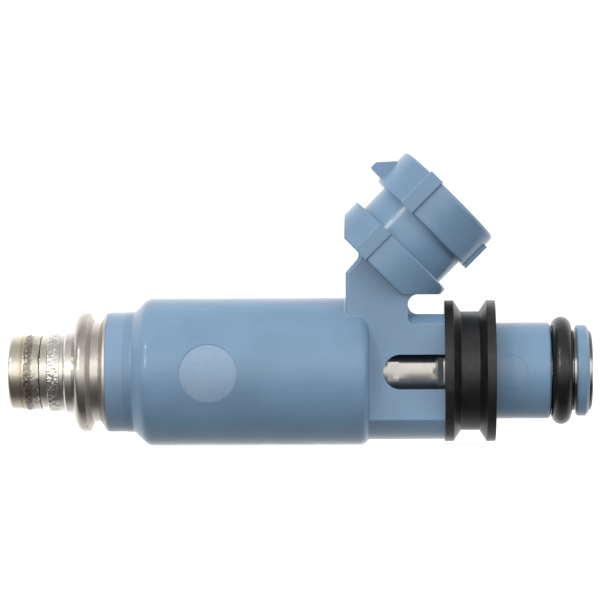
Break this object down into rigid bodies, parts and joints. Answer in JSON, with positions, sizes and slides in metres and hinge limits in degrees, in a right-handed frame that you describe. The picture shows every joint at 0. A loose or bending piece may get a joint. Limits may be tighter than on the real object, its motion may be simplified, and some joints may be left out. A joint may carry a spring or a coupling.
{
  "type": "fuel injector",
  "caption": "Top-feed petrol fuel injector: blue moulded body, leaning electrical connector, steel spray tip, rubber rail grommet and O-ring, with a sprung solenoid needle valve.",
  "frame": {"origin": "on the injector's axis, in the plane of the stop ring's front face, which seats on the intake port", "axes": "+X along the injector's axis from the spray tip to the fuel rail, +Z towards the electrical connector"},
  "size_m": [0.0633, 0.0162, 0.0317],
  "materials": {
    "blue_plastic": "satin",
    "stainless_steel": "satin",
    "hardened_steel": "polished",
    "magnetic_steel": "satin",
    "spring_steel": "polished",
    "black_rubber": "satin",
    "oring_rubber": "gloss",
    "bobbin_nylon": "satin",
    "filter_nylon": "satin",
    "enamelled_copper": "gloss",
    "polyester_tape": "satin",
    "tinned_brass": "satin",
    "woven_steel": "satin"
  },
  "bodies": {
    "injector": {"nozzle_cap": "stainless_steel", "orifice_plate": "stainless_steel", "valve_seat": "hardened_steel", "nozzle_holder": "stainless_steel", "valve_body": "stainless_steel", "stop_ring": "stainless_steel", "yoke_housing": "magnetic_steel", "yoke_plate": "magnetic_steel", "lift_stop_plate": "hardened_steel", "nonmagnetic_sleeve": "stainless_steel", "inlet_core": "stainless_steel", "return_spring": "spring_steel", "adjusting_tube": "stainless_steel", "filter_frame": "filter_nylon", "filter_mesh": "woven_steel", "coil_bobbin": "bobbin_nylon", "coil_winding": "enamelled_copper", "winding_tape": "polyester_tape", "terminal_left": "tinned_brass", "terminal_right": "tinned_brass", "overmold_body": "blue_plastic", "upper_grommet": "black_rubber", "rail_oring": "oring_rubber", "oring_retainer": "blue_plastic"},
    "valve": {"valve_needle": "hardened_steel", "valve_ball": "hardened_steel", "armature": "magnetic_steel"}
  },
  "joints": [
    {"name": "needle_lift", "type": "slide", "parent": "injector", "child": "valve", "axis": [1, 0, 0], "range_m": [0, 0.00008], "stiffness_N_per_m": 2000, "springref_m": -0.0015, "deforming": ["return_spring"]}
  ]
}
